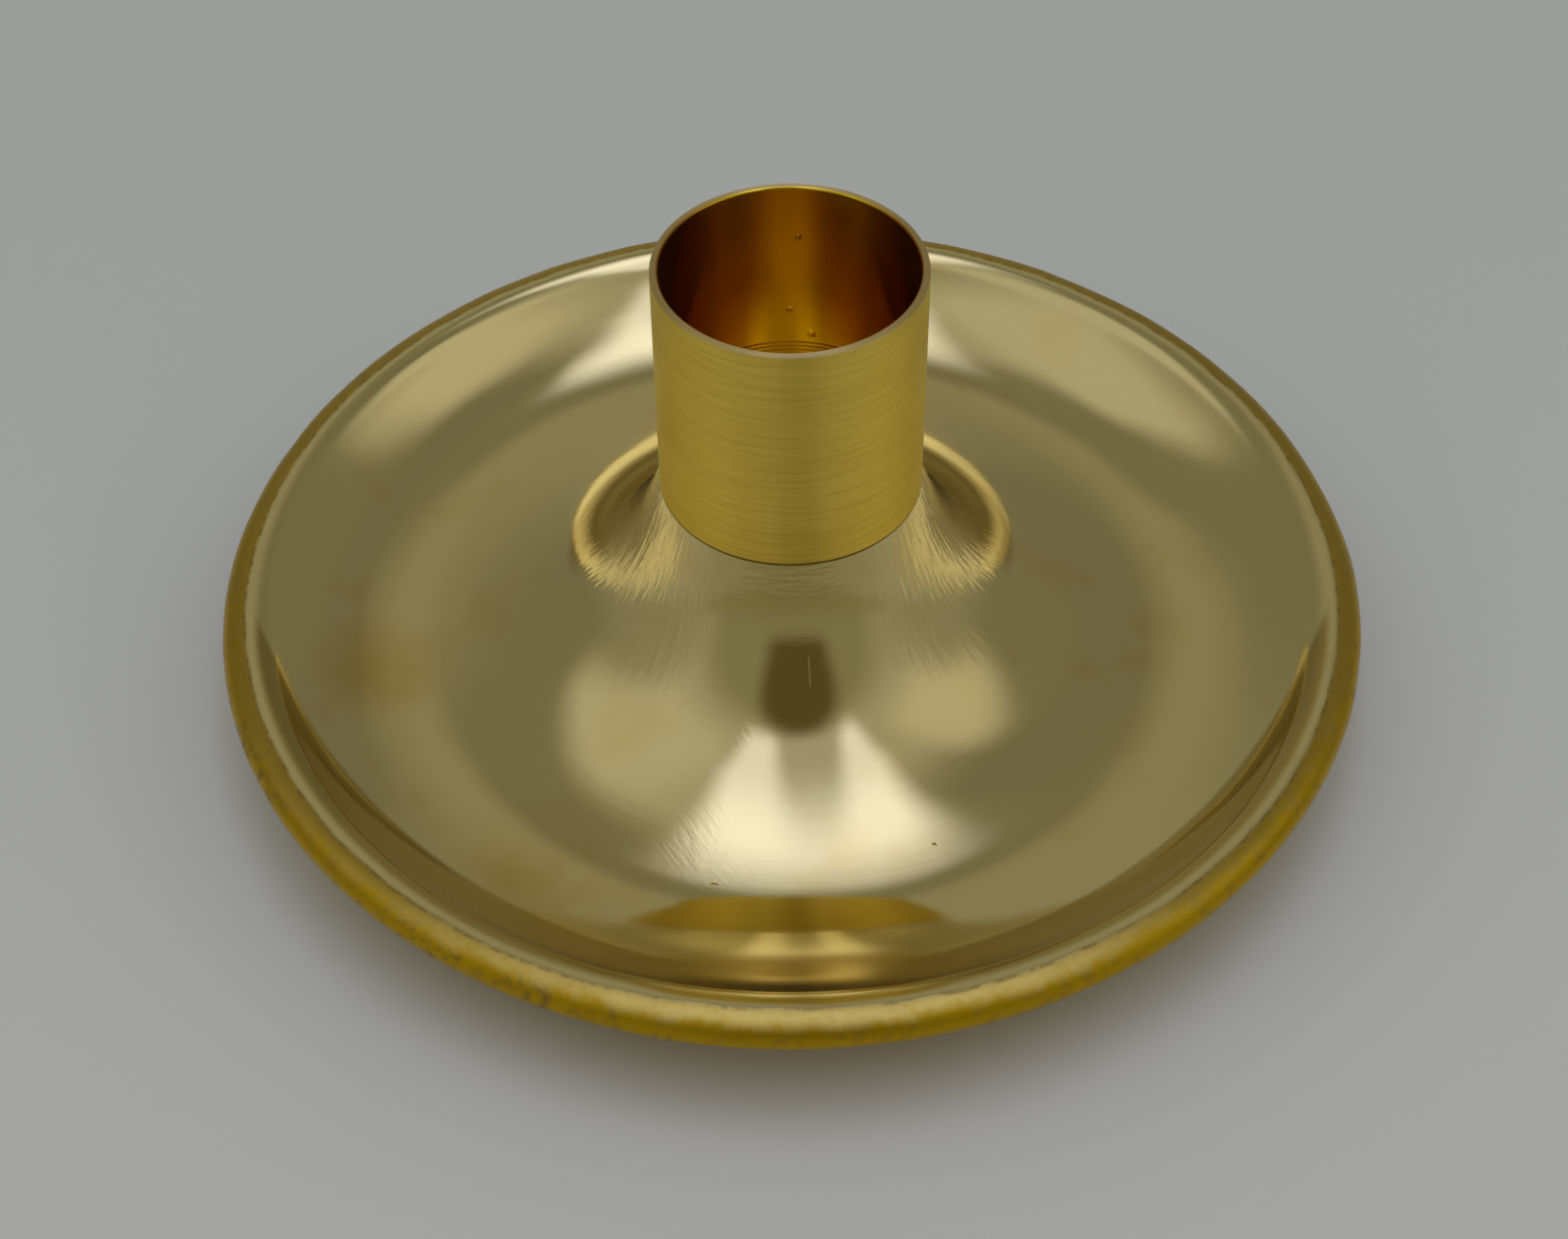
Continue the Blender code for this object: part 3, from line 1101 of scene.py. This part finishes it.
@dataclass
class DripDish:
    """Saucer with a rounded rim, a wax trough, a trumpet neck and a foot ring.

    The underside follows the wall up to wall_reach past its lowest point, and the rim's oval laps it by
    rim_lap, both as angles. The wave ring is measured from the trough's lowest circle, and the flat ring
    from the crest.
    """

    rim_radius: float
    seat_height: float
    seat_radius: float
    rim_half: Point = (0.0024, 0.0018)
    rim_height: float = 0.0100
    roll_radius: float = 0.0032
    trough_radius: float = 0.0360
    trough_depth: float = 0.0049
    floor_slope: float = math.radians(8.0)
    neck_angle: float = math.radians(70.0)
    neck_pull: float = 0.0077
    flare_pull: float = 0.0163
    wall: float = 0.0022
    web: float = 0.0040
    stud_hole: float = 0.0033
    foot_radius: float = 0.0340
    foot_width: float = 0.0040
    foot_round: float = 0.0006
    foot_clearance: float = 0.0004
    wall_reach: float = 0.8
    rim_lap: float = 0.1
    trough_waves: float = 0.00024
    trough_wave_size: float = 0.016
    trough_wave_ring: Span = (-0.014, 0.004)
    rim_flats: float = 0.00014
    rim_flat_size: float = 0.0050
    rim_flat_ring: Span = (-0.0006, 0.0008)
    pits: tuple[Point, ...] = ((-66.7, 0.0314), (-102.3, 0.0336))
    pit_size: float = 0.00019
    flare_points: int = 60
    wall_points: int = 44
    roll_points: int = 16
    rim_points: int = 40
    under_points: int = 24
    under_thinning: int = 3
    edge_points: int = 5
    steps: int = 256

    @property
    def rim_centre(self) -> Point:
        """Middle of the rim's oval section."""
        return self.rim_radius - self.rim_half[0], self.rim_height

    @property
    def crest(self) -> Point:
        """Top of the rim."""
        return self.rim_centre[0], self.rim_height + self.rim_half[1]

    def in_rim(self, point: Point) -> Point:
        """A point seen from the rim's middle, in half widths and half thicknesses of the rim."""
        across = (point[0] - self.rim_centre[0]) / self.rim_half[0]
        return across, (point[1] - self.rim_centre[1]) / self.rim_half[1]

    def oval(self, start: float, end: float, count: int) -> list[Point]:
        """Points on the rim's section.

        Args:
            start: First angle; 0 points away from the axis.
            end: Last angle.
            count: How many points.

        Returns:
            The points (r, z).
        """
        centre = self.rim_centre
        half = self.rim_half
        circle = arc((0.0, 0.0), 1.0, start, end, count)
        return [(centre[0] + half[0] * x, centre[1] + half[1] * z) for x, z in circle]

    def upper_side(self) -> tuple[list[Point], list[Point], Point, float]:
        """The neck's flare, and the trough's wall that rolls over into the rim.

        Returns:
            The points of the flare, the points up to the crest, and the wall's centre and radius.
        """
        bottom = (self.trough_radius, self.rim_height - self.trough_depth)
        run = self.crest[0] - bottom[0]
        turn_angle = 2 * math.atan2(self.crest[1] - bottom[1], run)
        radius = run / math.sin(turn_angle) - self.roll_radius
        centre = (bottom[0], bottom[1] + radius)
        start = -QUARTER_TURN - self.floor_slope
        wall = arc(centre, radius, start, -QUARTER_TURN + turn_angle, self.wall_points)
        roll_centre = (self.crest[0], self.crest[1] - self.roll_radius)
        roll = arc(roll_centre, self.roll_radius, QUARTER_TURN + turn_angle, QUARTER_TURN, self.roll_points)
        pull = (
            self.seat_radius + self.neck_pull * math.cos(self.neck_angle),
            self.seat_height - self.neck_pull * math.sin(self.neck_angle),
        )
        push = (
            wall[0][0] - self.flare_pull * math.cos(self.floor_slope),
            wall[0][1] + self.flare_pull * math.sin(self.floor_slope),
        )
        flare = bezier((self.seat_radius, self.seat_height), pull, push, wall[0], self.flare_points)
        return flare, wall[:-1] + roll, centre, radius

    def foot(self, outer_top: float, inner_top: float) -> list[Point]:
        """Section of the foot ring with rounded edges.

        Args:
            outer_top: Height at which its outer side meets the dish.
            inner_top: Height at which its inner side meets the dish.

        Returns:
            The points (r, z), from the outer side to the inner side.
        """
        inner = self.foot_radius - self.foot_width
        edge = self.foot_round
        outer_edge = arc((self.foot_radius - edge, edge), edge, 0.0, -QUARTER_TURN, self.edge_points)
        inner_edge = arc((inner + edge, edge), edge, -QUARTER_TURN, -math.pi, self.edge_points)
        return [(self.foot_radius, outer_top)] + outer_edge + inner_edge + [(inner, inner_top)]

    def outline(self) -> list[Point]:
        """The whole section, a closed ring round the stud hole.

        Returns:
            The points (r, z), with the first one again at the end.
        """
        flare, wall, centre, radius = self.upper_side()
        slope = self.floor_slope
        web_height = self.seat_height - self.web
        thinned = lowered(flare, self.wall)[: -1 : self.under_thinning]
        under_flare = [p for p in thinned if p[1] < web_height]
        reach = -QUARTER_TURN + self.wall_reach
        under_wall = arc(centre, radius + self.wall, -QUARTER_TURN - slope, reach, self.under_points)
        clear = [p for p in under_flare + under_wall if math.hypot(*self.in_rim(p)) > 1.0]
        root = self.in_rim(clear[-1])
        bead = self.oval(QUARTER_TURN, math.atan2(root[1], root[0]) + self.rim_lap, self.rim_points)

        inner = self.foot_radius - self.foot_width
        outside = [p for p in reversed(clear) if p[0] > self.foot_radius + self.foot_clearance]
        inside = [p for p in reversed(clear) if p[0] < inner - self.foot_clearance]
        outer_top = min(outside, key=lambda p: p[0])[1]
        inner_top = max(inside, key=lambda p: p[0])[1]
        foot = self.foot(outer_top, inner_top)

        ring = [(self.stud_hole, self.seat_height)] + flare[:-1] + wall[:-1] + bead
        ring += outside + foot + inside
        ring += [(inside[-1][0] - self.foot_clearance, web_height), (self.stud_hole, web_height)]
        return ring + ring[:1]

    def build(self) -> bpy.types.Object:
        """Turn the dish, and leave the marks of handwork on it.

        Returns:
            The dish.
        """
        piece = turn("buffed_dish", self.outline(), self.steps)
        trough = tuple(self.trough_radius + distance for distance in self.trough_wave_ring)
        roughen(piece, trough, self.trough_waves, self.trough_wave_size)
        rim = tuple(self.crest[0] + distance for distance in self.rim_flat_ring)
        roughen(piece, rim, self.rim_flats, self.rim_flat_size)
        for bearing, radius in self.pits:
            angle = math.radians(bearing)
            dent(piece, (radius * math.cos(angle), radius * math.sin(angle)), self.pit_size)
        return piece

    def dress(self, piece: bpy.types.Object) -> None:
        """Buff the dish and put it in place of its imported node."""
        finish_piece(piece, BuffedBrass(self.crest).paint(), "drip_dish")


@dataclass
class CandleCup:
    """Turned cup with a thin rounded lip and a threaded stud under its floor.

    The rings are shares of the floor's radius and of the wall's height, from the lip down. The stud laps
    the shank. Its rod is made with some length to spare and trimmed with some play outside the thread.
    """

    radius: float
    top: float
    base: float
    stud_end: float
    wall: float = 0.00075
    floor: float = 0.0020
    corner: float = 0.0015
    lip_round: float = 0.00022
    base_break: float = 0.00015
    stud_radius: float = 0.0030
    thread_root: float = 0.00246
    thread_pitch: float = 0.0010
    shank: float = 0.0034
    ripple_pitch: float = 0.00045
    ripple_depth: float = 0.00002
    ripples: int = 7
    floor_rings: tuple[float, ...] = (0.0, 0.2, 0.4, 0.6, 0.75)
    wall_rings: tuple[float, ...] = (0.2, 0.4, 0.6, 0.8)
    stud_lap: float = 0.0002
    stud_spare: float = 0.001
    stud_play: float = 0.0001
    corner_points: int = 9
    lip_points: int = 6
    break_points: int = 4
    steps: int = 192
    stud_steps: int = 48

    def tool_marks(self) -> list[Point]:
        """Shallow rings that the boring tool left low on the bore.

        Returns:
            The points (r, z), from the bottom up.
        """
        bore = self.radius - self.wall
        start = self.base + self.floor + self.corner
        marks = []
        for step in range(1, 4 * self.ripples):
            swing = math.sin(step * QUARTER_TURN)
            marks.append((bore + self.ripple_depth * swing, start + step * self.ripple_pitch / 4))
        return marks

    def outline(self) -> list[Point]:
        """The section of the cup and its plain shank, from axis to axis.

        Returns:
            The points (r, z), from the floor over the lip to the end of the shank.
        """
        bore = self.radius - self.wall
        floor = self.base + self.floor
        edge = self.lip_round
        middle = (bore - self.corner, floor + self.corner)
        corner = arc(middle, self.corner, -QUARTER_TURN, 0.0, self.corner_points)
        inner_lip = arc((bore + edge, self.top - edge), edge, math.pi, QUARTER_TURN, self.lip_points)
        outer_lip = arc((self.radius - edge, self.top - edge), edge, QUARTER_TURN, 0.0, self.lip_points)
        lower = self.base_break
        foot = arc((self.radius - lower, self.base + lower), lower, 0.0, -QUARTER_TURN, self.break_points)
        rings = [(bore * share, floor) for share in self.floor_rings]
        height = self.top - self.base
        wall_steps = [(self.radius, self.top - height * share) for share in self.wall_rings]
        shank_end = self.base - self.shank
        shank = [(self.stud_radius, self.base), (self.stud_radius, shank_end), (0.0, shank_end)]
        return rings + corner + self.tool_marks() + inner_lip + outer_lip + wall_steps + foot + shank

    def stud(self) -> bpy.types.Object:
        """The threaded stud with a chamfered end.

        Returns:
            The stud.
        """
        top = self.base - self.shank + self.stud_lap
        ends = (self.stud_end - self.stud_spare, top + self.stud_spare)
        rod = threaded_rod("stud", self.stud_radius, self.thread_root, self.thread_pitch, ends)
        chamfer = self.stud_radius - self.thread_root
        outside = self.stud_radius + self.stud_play
        envelope = [
            (0.0, top),
            (outside, top),
            (outside, self.stud_end + chamfer),
            (self.thread_root, self.stud_end),
            (0.0, self.stud_end),
        ]
        cut(rod, turn("stud_envelope", envelope, self.stud_steps), Cut.KEEP_COMMON)
        return rod

    def build(self) -> bpy.types.Object:
        """Turn the cup and join the stud to it.

        Returns:
            The cup.
        """
        cup = turn("brushed_cup", self.outline(), self.steps)
        cut(cup, self.stud(), Cut.JOIN)
        return cup

    def dress(self, piece: bpy.types.Object) -> None:
        """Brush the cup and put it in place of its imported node."""
        brass = BrushedBrass(self.radius - self.wall, self.base + self.floor, self.top)
        finish_piece(piece, brass.paint(), "candle_socket")


@dataclass
class Fastening:
    """Plain washer, split washer and hexagon nut that clamp the cup from inside the neck."""

    hole: float = 0.0033
    edge_round: float = 0.00018
    edge_points: int = 5
    slit: float = 0.0010
    slit_lean: float = math.radians(20.0)
    nut_flats: float = 0.0100
    nut_chamfer: float = math.radians(30.0)
    nut_bore: float = 0.00285
    nut_edge: float = 0.0001
    countersink: float = 0.00327
    spare: float = 0.001
    steps: int = 96
    washer: MachinedMetal = MachinedMetal("satin_brass", (0.72, 0.53, 0.20), (0.52, 0.36, 0.12), 0.36)
    steel: MachinedMetal = MachinedMetal("dull_steel", (0.46, 0.46, 0.47), (0.30, 0.29, 0.28), 0.42)
    milled: MachinedMetal = MachinedMetal("milled_brass", (0.68, 0.49, 0.18), (0.48, 0.33, 0.11), 0.36)

    def ring(self, name: str, node: str) -> bpy.types.Object:
        """A flat ring with rounded edges.

        Args:
            name: Name of the new object.
            node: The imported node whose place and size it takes.

        Returns:
            The ring.
        """
        low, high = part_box(node)
        edge = self.edge_round
        corners = (
            (self.hole + edge, high.z - edge, math.pi),
            (high.x - edge, high.z - edge, QUARTER_TURN),
            (high.x - edge, low.z + edge, 0.0),
            (self.hole + edge, low.z + edge, -QUARTER_TURN),
        )
        section = []
        for across, height, start in corners:
            section += arc((across, height), edge, start, start - QUARTER_TURN, self.edge_points)
        return turn(name, section + section[:1], self.steps)

    def plain_washer(self) -> bpy.types.Object:
        """The flat washer under the neck's web."""
        return self.ring("flat_washer", "plain_washer")

    def split_washer(self) -> bpy.types.Object:
        """The washer with a slanted slit.

        Returns:
            The washer.
        """
        piece = self.ring("split_washer", "spring_washer")
        low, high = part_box("spring_washer")
        nothing_selected()
        place = (high.x / 2 + self.hole / 2, 0.0, (low.z + high.z) / 2)
        bpy.ops.mesh.primitive_cube_add(size=1.0, location=place, rotation=(self.slit_lean, 0.0, 0.0))
        slab = bpy.context.object
        slab.scale = (high.x, self.slit, 3 * (high.z - low.z))
        cut(piece, slab, Cut.TAKE_AWAY)
        return piece

    def nut(self) -> bpy.types.Object:
        """The hexagon nut with chamfered corners and a countersunk bore.

        Returns:
            The nut.
        """
        low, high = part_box("fixing_nut")
        thickness = high.z - low.z
        corner = self.nut_flats / math.sqrt(3.0)
        nothing_selected()
        middle = (0.0, 0.0, (low.z + high.z) / 2)
        bpy.ops.mesh.primitive_cylinder_add(vertices=6, radius=corner, depth=thickness, location=middle)
        piece = bpy.context.object
        piece.name = "hexagon_nut"
        bpy.ops.object.transform_apply(location=True, rotation=False, scale=False)
        bpy.ops.object.mode_set(mode="EDIT")
        bpy.ops.mesh.bevel(offset=self.nut_edge, segments=2)
        bpy.ops.object.mode_set(mode="OBJECT")

        flat = self.nut_flats / 2
        drop = (corner - flat) * math.tan(self.nut_chamfer)
        blank = [
            (0.0, high.z),
            (flat, high.z),
            (corner, high.z - drop),
            (corner, low.z + drop),
            (flat, low.z),
            (0.0, low.z),
        ]
        cut(piece, turn("nut_blank", blank, self.steps), Cut.KEEP_COMMON)
        depth = self.countersink - self.nut_bore
        widest = self.countersink + self.spare
        bore = [
            (0.0, high.z + self.spare),
            (widest, high.z + self.spare),
            (self.nut_bore, high.z - depth),
            (self.nut_bore, low.z + depth),
            (widest, low.z - self.spare),
            (0.0, low.z - self.spare),
        ]
        cut(piece, turn("nut_bore", bore, self.steps), Cut.TAKE_AWAY)
        return piece

    def dress(self) -> None:
        """Build the three pieces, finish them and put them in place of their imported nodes."""
        finish_piece(self.plain_washer(), self.washer.paint(), "plain_washer")
        finish_piece(self.split_washer(), self.steel.paint(), "spring_washer")
        finish_piece(self.nut(), self.milled.paint(), "fixing_nut")


# Table, light and camera


@dataclass(frozen=True)
class SoftPatch:
    """A patch of light or shade in the room, placed by direction.

    East is to the right of the camera and north to the back, as parts of a unit vector. Each edge is
    a soft step: where the patch starts and where it is full.
    """

    colour: Colour
    back: Span
    front: Span
    left: Span
    right: Span

    def lay(self, graph: NodeGraph, under: Any, east: Field, north: Field) -> bpy.types.NodeSocket:
        """Lay the patch over the room.

        Args:
            graph: The nodes of the light.
            under: The colour of the room so far.
            east: How far a direction points to the right.
            north: How far it points to the back.

        Returns:
            The colour of the room with the patch.
        """
        share = north.rise(*self.back) * north.rise(*self.front)
        share = share * east.rise(*self.left) * east.rise(*self.right)
        return graph.mix(share, under, self.colour)


@dataclass(frozen=True)
class Lamp:
    """The overhead lamp: a soft wedge that points to the back, with a dim gap that opens to the camera."""

    colour_far: Colour = (1.22, 1.30, 1.82)
    colour_near: Colour = (0.95, 1.00, 1.36)
    gap_colour: Colour = (0.34, 0.34, 0.33)
    centre: float = 0.035
    drift: float = 0.03
    point: float = 0.41
    point_width: float = 0.156
    tip_slope: float = 0.80
    flank_slope: float = 0.26
    widest: float = 0.31
    gap_drift: float = 0.06
    gap_slope: float = 0.19
    gap_depth: float = 0.85
    edge: Span = (-0.06, 0.05)
    far_fade: Span = (0.54, 0.18)
    near_fade: Span = (-0.64, -0.44)
    gap_fade: Span = (0.50, -0.40)
    near_colour: Span = (0.15, -0.30)

    def lay(self, graph: NodeGraph, under: Any, east: Field, north: Field) -> bpy.types.NodeSocket:
        """Lay the lamp over the room.

        Args:
            graph: The nodes of the light.
            under: The colour of the room so far.
            east: How far a direction points to the right.
            north: How far it points to the back.

        Returns:
            The colour of the room with the lamp.
        """
        nearness = self.point - north
        tip = self.point_width + nearness * self.tip_slope
        flank = (self.point_width + nearness * self.flank_slope).least(self.widest)
        inside = tip.least(flank) - abs(east - self.centre - nearness * self.drift)
        share = inside.rise(*self.edge) * north.rise(*self.far_fade) * north.rise(*self.near_fade)
        gap = nearness * self.gap_slope - abs(east - self.centre - nearness * self.gap_drift)
        gap = gap.rise(*self.edge) * north.rise(*self.gap_fade) * self.gap_depth
        colour = graph.mix(north.rise(*self.near_colour), self.colour_far, self.colour_near)
        colour = graph.mix(gap, colour, self.gap_colour)
        return graph.mix(share, under, colour)


@dataclass
class Studio:
    """Pale table, soft light from above, and the camera."""

    camera_place: Place = (-0.000722, -0.175596, 0.184452)
    camera_dip: float = 0.7976
    camera_roll: float = -0.0076
    focal_length: float = 59.64
    sensor_width: float = 36.0
    nearest: float = 0.01
    table_size: float = 6.0
    room_back: Colour = (0.215, 0.211, 0.175)
    room_front: Colour = (0.255, 0.252, 0.200)
    dark_side: Colour = (0.104, 0.086, 0.041)
    dark_centre: Point = (0.05, -0.84)
    dark_reach: Point = (0.36, 0.33)
    dark_edge: Span = (1.12, 0.60)
    dark_rise: Span = (0.06, 0.22)
    to_the_front: Span = (0.50, 0.0)

    def patches(self) -> list[SoftPatch]:
        """A glow at the back, the pale upper room, a dim corner on the right and a panel at each side.

        Returns:
            The patches, in the order in which they are laid.
        """
        return [
            SoftPatch((0.310, 0.305, 0.255), (2.0, 1.5), (0.54, 0.68), (-0.60, -0.12), (0.38, -0.03)),
            SoftPatch((0.420, 0.420, 0.400), (0.40, 0.14), (-0.76, -0.44), (-1.00, -0.70), (1.00, 0.68)),
            SoftPatch((0.205, 0.200, 0.168), (2.0, 1.5), (-0.20, 0.26), (0.22, 0.34), (0.58, 0.46)),
            SoftPatch((0.530, 0.530, 0.520), (0.41, 0.22), (-0.52, -0.26), (-0.90, -0.66), (-0.22, -0.42)),
            SoftPatch((0.570, 0.560, 0.525), (0.33, 0.08), (-0.52, -0.22), (0.44, 0.62), (0.98, 0.78)),
        ]

    def table(self) -> None:
        """Lay the table at the foot of the candlestick."""
        nothing_selected()
        bpy.ops.mesh.primitive_plane_add(size=self.table_size)
        sheet = bpy.context.object
        sheet.name = "pale_table"
        sheet.data.materials.append(PaleTable().paint())

    def light(self) -> None:
        """Soft light, set by direction: a lamp overhead in a pale room that is dark behind the camera."""
        world = bpy.data.worlds.new("soft_room")
        bpy.context.scene.world = world
        world.use_nodes = True
        graph = NodeGraph(world.node_tree)
        east, north, up = graph.split(graph.node("ShaderNodeTexCoord", output="Generated"))
        colour = graph.mix(north.rise(*self.to_the_front), self.room_back, self.room_front)
        for patch in self.patches():
            colour = patch.lay(graph, colour, east, north)
        colour = Lamp().lay(graph, colour, east, north)
        aside = (east - self.dark_centre[0]) / self.dark_reach[0]
        ahead = (north - self.dark_centre[1]) / self.dark_reach[1]
        away = (aside * aside + ahead * ahead) ** 0.5
        dark = away.rise(*self.dark_edge) * up.rise(*self.dark_rise)
        colour = graph.mix(dark, colour, self.dark_side)
        graph.feed(world.node_tree.nodes["Background"].inputs["Color"], colour)

    def camera(self) -> None:
        """Set up the camera at the photograph's angle."""
        lens = bpy.data.cameras.new("camera")
        lens.sensor_width = self.sensor_width
        lens.lens = self.focal_length
        lens.clip_start = self.nearest
        viewer = bpy.data.objects.new("camera", lens)
        bpy.context.scene.collection.objects.link(viewer)
        viewer.location = self.camera_place
        viewer.rotation_euler = (QUARTER_TURN - self.camera_dip, 0.0, 0.0)
        viewer.rotation_euler.rotate_axis("Z", self.camera_roll)
        bpy.context.scene.camera = viewer

    def colours(self) -> None:
        """Show colours as they are, with no film curve."""
        bpy.context.scene.view_settings.view_transform = "Standard"


def main() -> None:
    """Build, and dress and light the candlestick."""
    logging.basicConfig(level=logging.INFO, format="%(message)s")
    dish_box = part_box("drip_dish")
    cup_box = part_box("candle_socket")

    studio = Studio()
    studio.camera()
    studio.light()
    studio.table()
    studio.colours()

    dish = DripDish(dish_box[1].x - RIM_PLAY, dish_box[1].z, cup_box[1].x)
    dish.dress(dish.build())
    cup = CandleCup(cup_box[1].x, cup_box[1].z, dish_box[1].z + SEAM, cup_box[0].z)
    cup.dress(cup.build())
    Fastening().dress()


if __name__ == "__main__":
    main()
